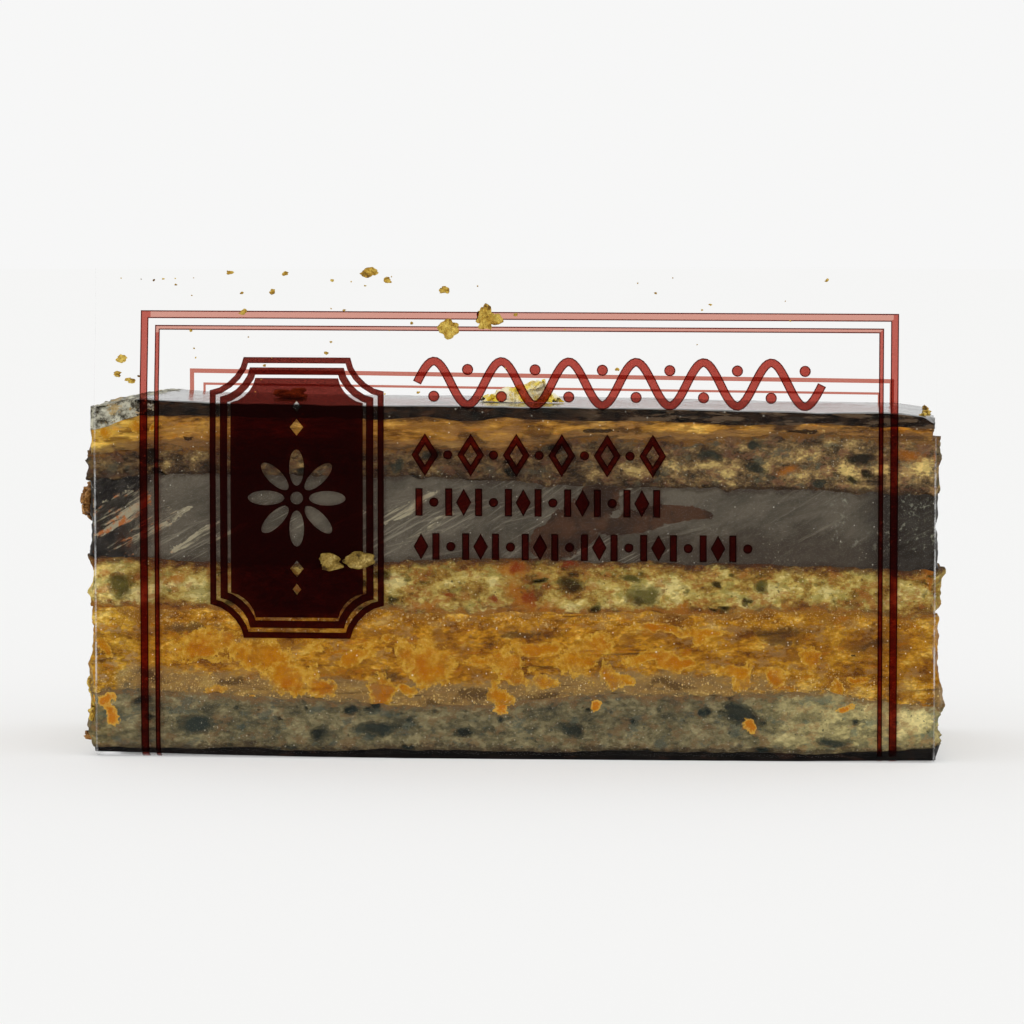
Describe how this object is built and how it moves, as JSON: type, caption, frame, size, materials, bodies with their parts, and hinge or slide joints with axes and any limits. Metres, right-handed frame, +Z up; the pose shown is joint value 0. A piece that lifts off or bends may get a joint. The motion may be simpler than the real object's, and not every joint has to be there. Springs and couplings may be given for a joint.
{
  "type": "opera cake slice",
  "caption": "Rectangular slice of layered opera cake with sponge, coffee cream, ganache, a dark icing and a scrap of gold leaf, standing in a folded sheet of clear film.",
  "frame": {"origin": "middle of the footprint, on the table", "axes": "+X along the slice, +Y from the high printed front wall of the film towards its back wall, +Z up"},
  "size_m": [0.0883, 0.0319, 0.0495],
  "materials": {
    "chocolate_base": "dark chocolate, satin",
    "sponge_bottom": "soaked almond sponge with open pores",
    "coffee_cream_lower": "coffee butter cream, soft sheen",
    "sponge_middle": "pale almond sponge with open pores",
    "ganache": "dark ganache, smooth satin",
    "sponge_top": "coffee soaked almond sponge with open pores",
    "coffee_cream_upper": "coffee butter cream, knife streaks",
    "chocolate_icing": "dark chocolate icing, glossy top",
    "gold_leaf": "crumpled edible gold leaf",
    "film_wrap": "thin clear food film with a dark red printed frame"
  },
  "bodies": {
    "root": {"chocolate_base": "chocolate_base", "sponge_bottom": "sponge_bottom", "coffee_cream_lower": "coffee_cream_lower", "sponge_middle": "sponge_middle", "ganache": "ganache", "sponge_top": "sponge_top", "coffee_cream_upper": "coffee_cream_upper", "chocolate_icing": "chocolate_icing", "gold_leaf": "gold_leaf", "film_wrap": "film_wrap"}
  },
  "joints": []
}
